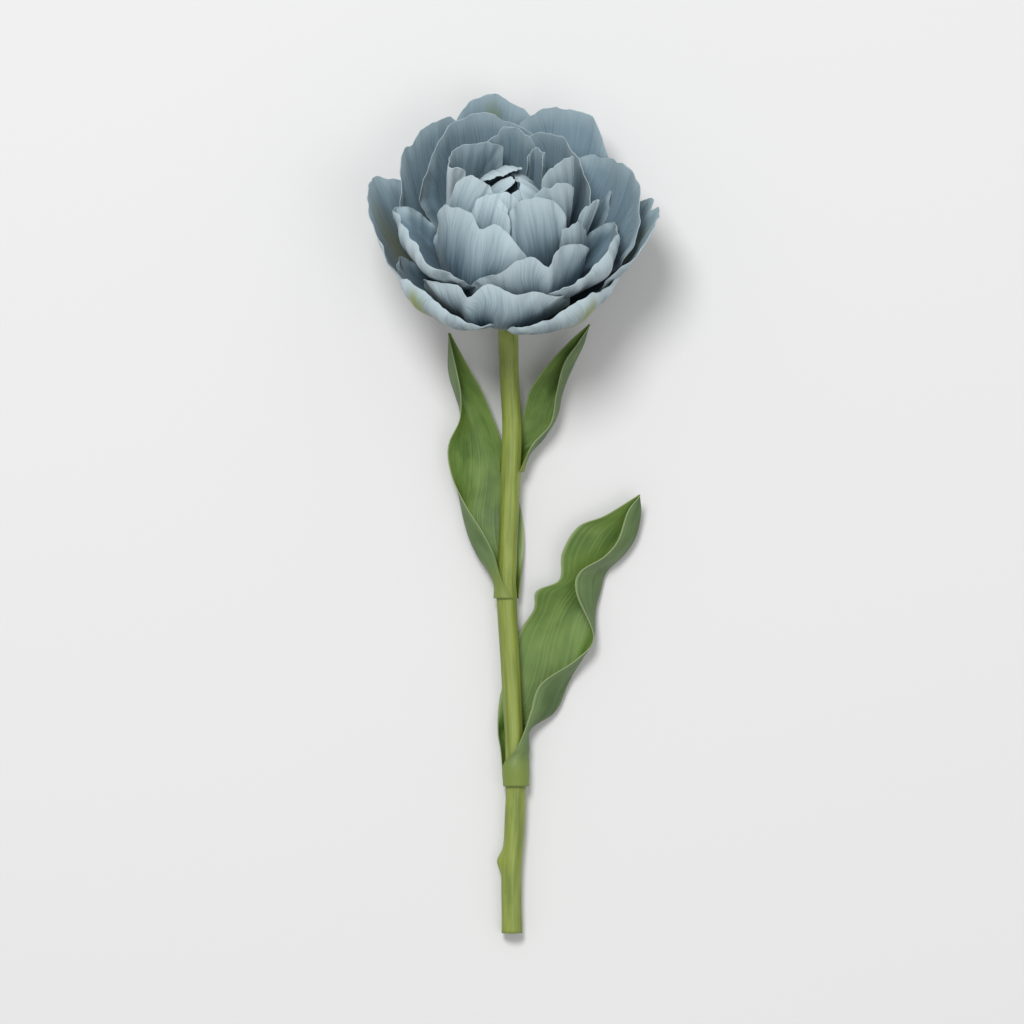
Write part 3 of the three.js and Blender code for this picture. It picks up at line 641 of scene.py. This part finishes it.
def pistil_material():
    n = Nodes("pistil skin")
    t, s = n.own_box()
    speckle = n.noise(n.join(n.times(t, 8.0), n.times(s, 10.0), 1.0), 2.0, 3.0)
    body = n.mix(n.ramp(s, 0.78, 0.9), OVARY, STIGMA)
    body = n.mix(n.times(n.ramp(speckle, 0.4, 0.7), 0.3), body, OVARY_SPECK)
    n.bump(speckle, depth=0.0003, strength=0.5)
    return n.finish(body, 0.55)


def stamen_material():
    n = Nodes("stamen skin")
    t, s = n.own_box()
    dust = n.noise(n.join(n.times(t, 9.0), n.times(s, 14.0), 2.0), 4.0, 3.0)
    anther = n.mix(n.ramp(dust, 0.35, 0.65), ANTHER_DARK, ANTHER_LIGHT)
    body = n.mix(n.ramp(s, 0.52, 0.58), FILAMENT, anther)
    n.bump(dust, depth=0.0003, strength=0.6)
    return n.finish(body, 0.8)


# ---- building the pieces -------------------------------------------------------------------------

BROAD = 14                        # half width above which a petal gets the finer grid, mm
# Half thicknesses, mm: the margin, what the middle adds, what the fleshy claw adds.
PETAL_EDGE, PETAL_MIDDLE, PETAL_CLAW = 0.11, 0.09, 0.16
LEAF_EDGE, LEAF_MIDDLE = 0.16, 0.24


def place(piece, node, slot, material):
    piece.data.materials.append(material)
    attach(piece, "root")
    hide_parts(node)


def build_petals():
    for shared, petals in WHORLS:
        for node, own in petals.items():
            p = {**PETAL, **shared, **own}
            rows, cols = (64, 61) if p["width"] > BROAD else (48, 41)
            points, S, T = petal_points(p, rows, cols)
            half = (PETAL_EDGE + PETAL_CLAW * (1 - smooth(S / 0.5))
                    + PETAL_MIDDLE * (1 - smooth((nearness(S, T) - 0.75) / 0.25)))
            uv = np.stack([(T + 1) / 2, S], -1)
            points = to_row(points)
            points[..., 2] = lay_on_table(points[..., 2])
            piece = sheet("bloom_" + node, points, uv, half)
            place(piece, node, "tepal" if node.startswith("tepal") else "petal",
                  petal_material("skin of " + node, p))


def stem_centre(y):
    line = catmull(STEM_LINE, np.linspace(0, 1, 600))[::-1]
    return np.array([np.interp(y, line[:, 1], line[:, k]) for k in range(3)])


def station_points(station, t):
    """Points across a leaf at one station: round the stem, or a parabola through its three."""
    if not isinstance(station, list):
        y, radius, start, end = station
        a = np.radians(start + (end - start) * (t + 1) / 2)
        return stem_centre(y) + np.stack([radius * np.cos(a), 0 * a, radius * np.sin(a)], -1)
    left, keel, right = (np.array(p, float) for p in station)
    t = t[:, None]
    return left * t * (t - 1) / 2 + keel * (1 - t * t) + right * t * (t + 1) / 2


def build_leaves():
    for node, stations in LEAVES.items():
        rows, cols = 140, 49
        t = np.sin(np.linspace(-1, 1, cols) * math.pi / 2)
        s = np.linspace(0, 1, rows)
        through = np.array([station_points(station, t) for station in stations])
        points = catmull(through, s) + ORIGIN
        points[..., 2] = lay_on_table(points[..., 2])
        S, T = np.meshgrid(s, t, indexing="ij")
        half = LEAF_EDGE + (LEAF_MIDDLE * (1 - smooth((np.abs(T) - 0.7) / 0.3))
                            * (1 - smooth((S - 0.85) / 0.15)))
        uv = np.stack([(T + 1) / 2, S], -1)
        piece = sheet("green_" + node, points, uv, half, inner_sign=-1)
        place(piece, node, "leaf", leaf_material("skin of " + node))


def tube(name, rings, uv_s):
    """A capped round piece from rings of points (rows, cols, 3) in mm; its seam is closed."""
    cols = rings.shape[1]
    closed = np.concatenate([rings, rings[:, :1]], 1)
    u = np.linspace(0, 1, cols + 1)
    uv = np.stack(np.broadcast_arrays(u[None, :], uv_s[:, None]), -1)
    ends = [np.repeat(closed[i].mean(0, keepdims=True), cols + 1, 0)[None] for i in (0, -1)]
    closed = np.concatenate([ends[0], closed, ends[1]])
    uv = np.concatenate([uv[:1], uv, uv[-1:]])
    quads = grid_faces(len(closed), cols + 1)
    return make_mesh(name, closed.reshape(-1, 3), quads, uv.reshape(-1, 2),
                     np.zeros(closed.size // 3))


def build_stem():
    """The stem grows out of the receptacle; the two are drawn as one tube."""
    rows, segments = 260, 48
    leaf_nodes_at = (-60, -104, -169)
    scar_at, scar_side, scar_height = -197, math.radians(180), 1.9
    swell_at, swell_wide, swell_height = 6.5, 3.2, 3.6
    u = np.linspace(0, 1, rows)
    line = catmull(STEM_LINE, u)
    ahead = unit(np.gradient(line, axis=0))
    right = unit(np.array([1.0, 0, 0]) - ahead * ahead[:, :1])
    up = np.cross(ahead, right)
    nodes = sum(np.exp(-((line[:, 1] - y) / 3) ** 2) for y in leaf_nodes_at)
    radius = STEM_RADIUS * (1 - 0.06 * np.sin(math.pi * u)) + 0.15 * nodes
    radius += 0.06 * np.sin(31 * u + 1) + 0.04 * np.sin(83 * u)
    # The receptacle swells the first few millimetres.
    down = np.linalg.norm(line - line[0], axis=1)
    radius += (swell_height * np.exp(-((down - swell_at) / swell_wide) ** 2)
               - 1.2 * (1 - smooth(down / 3)))
    a = np.linspace(0, 2 * math.pi, segments, endpoint=False)
    scar = scar_height * np.exp(-((line[:, 1] - scar_at) / 3.2) ** 2)[:, None] * np.exp(
        -((np.angle(np.exp(1j * (a - scar_side))) / 0.5) ** 2))[None, :]
    ribs = 0.05 * np.sin(7 * a)[None, :]
    r = radius[:, None] + scar + ribs
    rings = line[:, None] + r[..., None] * (np.cos(a)[None, :, None] * right[:, None]
                                            + np.sin(a)[None, :, None] * up[:, None])
    piece = tube("green_stem", rings + ORIGIN, u)
    place(piece, "stem", "stem", stem_material())


def build_heart():
    """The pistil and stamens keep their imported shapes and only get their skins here."""
    skins = {"pistil": pistil_material, "stamen": stamen_material}
    for node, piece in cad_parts.items():
        skin = skins.get(node.split("_")[0])
        if skin:
            piece.data.materials.clear()
            piece.data.materials.append(skin())


# ---- table, light and camera ---------------------------------------------------------------------


def build_stage():
    reach = 8                     # half the table's width, m
    surround = 0.46               # strength of the even light from all round
    aim_at = Vector((0, 0.1, 0.02))
    mesh = bpy.data.meshes.new("table")
    mesh.from_pydata([(reach * x, reach * y, 0) for x, y in ((-1, -1), (1, -1), (1, 1), (-1, 1))],
                     [], [(0, 1, 2, 3)])
    floor = bpy.data.objects.new("table", mesh)
    bpy.context.scene.collection.objects.link(floor)
    n = Nodes("table top")
    floor.data.materials.append(n.finish(TABLE_TOP, 0.9, Specular_IOR_Level=0.1))

    world = bpy.data.worlds.new("studio")
    bpy.context.scene.world = world
    world.use_nodes = True
    world.node_tree.nodes["Background"].inputs[0].default_value = (1.0, 1.0, 1.0, 1)
    world.node_tree.nodes["Background"].inputs[1].default_value = surround

    def lamp(name, size, power, where):
        light = bpy.data.lights.new(name, "AREA")
        light.shape = "DISK"
        light.size = size
        light.energy = power
        lamp_object = bpy.data.objects.new(name, light)
        lamp_object.location = where
        aim = aim_at - Vector(where)
        lamp_object.rotation_mode = "QUATERNION"
        lamp_object.rotation_quaternion = aim.to_track_quat("-Z", "Y")
        bpy.context.scene.collection.objects.link(lamp_object)

    lamp("key", 0.8, 36, (-0.4, 1.0, 2.1))
    lamp("fill", 1.6, 8, (0.8, -0.5, 2.2))


def build_camera():
    """Straight down, from far enough that nothing looks stretched."""
    view_width, distance, subject_height = 0.3584, 5.0, 0.02
    sensor = 36
    view_middle = np.array([1.4, -74.2, 0])         # from the plant's origin, mm
    camera = bpy.data.cameras.new("camera")
    camera.sensor_width = sensor
    camera.lens = sensor * distance / view_width
    camera.clip_end = 50
    camera_object = bpy.data.objects.new("camera", camera)
    middle = (ORIGIN + view_middle) * MM
    camera_object.location = (middle[0], middle[1], distance + subject_height)
    bpy.context.scene.collection.objects.link(camera_object)
    bpy.context.scene.camera = camera_object


build_petals()
build_leaves()
build_stem()
build_heart()
build_stage()
build_camera()

bpy.context.scene.view_settings.view_transform = "Standard"
